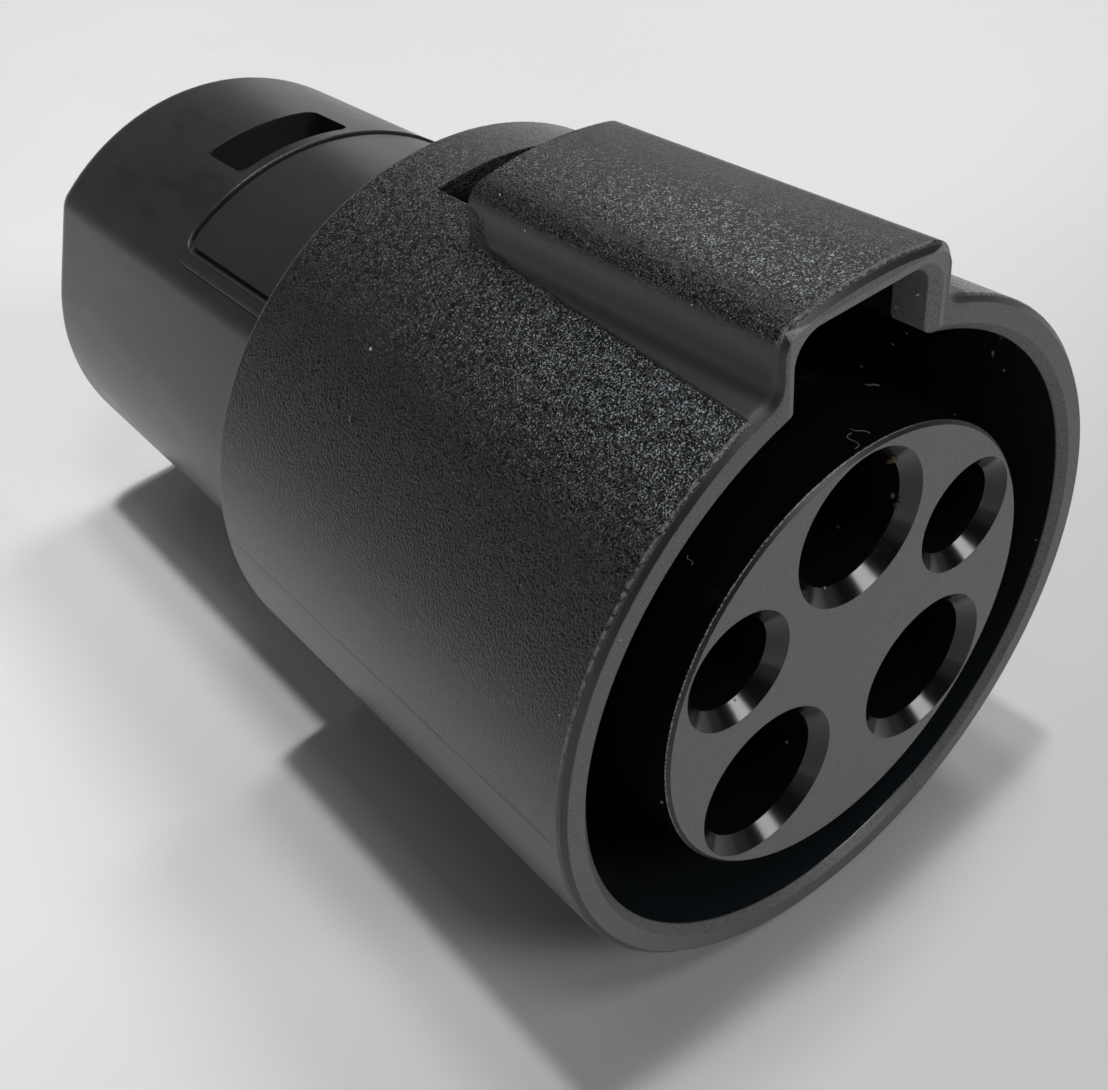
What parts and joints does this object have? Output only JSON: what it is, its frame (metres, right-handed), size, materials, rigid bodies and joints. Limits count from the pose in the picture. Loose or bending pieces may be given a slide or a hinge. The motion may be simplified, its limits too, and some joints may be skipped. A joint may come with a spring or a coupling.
{
  "type": "electric vehicle charging adapter",
  "caption": "Charging adapter: a round inlet with a latch notch and recessed contact pins in front, and a flat-topped plug body with a lock slot and socket holes behind.",
  "frame": {"origin": "centre of the front rim's plane, on the inlet's axis", "axes": "+Y along the inlet's axis from the rim to the plug's end, +Z towards the latch housing, +X completes the right-handed set; the adapter lies on the shell's underside"},
  "size_m": [0.05, 0.089, 0.0537],
  "materials": {
    "shell_plastic": "matte",
    "inlet_plastic": "satin",
    "plug_plastic": "satin",
    "label_film": "satin",
    "inner_plastic": "matte",
    "gasket_rubber": "matte",
    "contact_metal": "satin",
    "link_brass": "satin",
    "band_steel": "satin",
    "screw_steel": "satin"
  },
  "bodies": {
    "root": {"outer_shell": "shell_plastic", "inlet_housing": "inlet_plastic", "pin_retainer": "inner_plastic", "retainer_screws": "screw_steel", "body_gasket": "gasket_rubber", "plug_body": "plug_plastic", "label_plate": "label_film", "socket_carrier": "inner_plastic", "line_left_pin": "contact_metal", "line_left_link": "link_brass", "line_left_socket": "contact_metal", "line_left_band": "band_steel", "line_right_pin": "contact_metal", "line_right_link": "link_brass", "line_right_socket": "contact_metal", "line_right_band": "band_steel", "ground_pin": "contact_metal", "ground_link": "link_brass", "ground_socket": "contact_metal", "ground_band": "band_steel", "pilot_pin": "contact_metal", "pilot_link": "link_brass", "pilot_socket": "contact_metal", "pilot_band": "band_steel", "proximity_pin": "contact_metal", "proximity_link": "link_brass", "proximity_socket": "contact_metal", "proximity_band": "band_steel"}
  },
  "joints": []
}
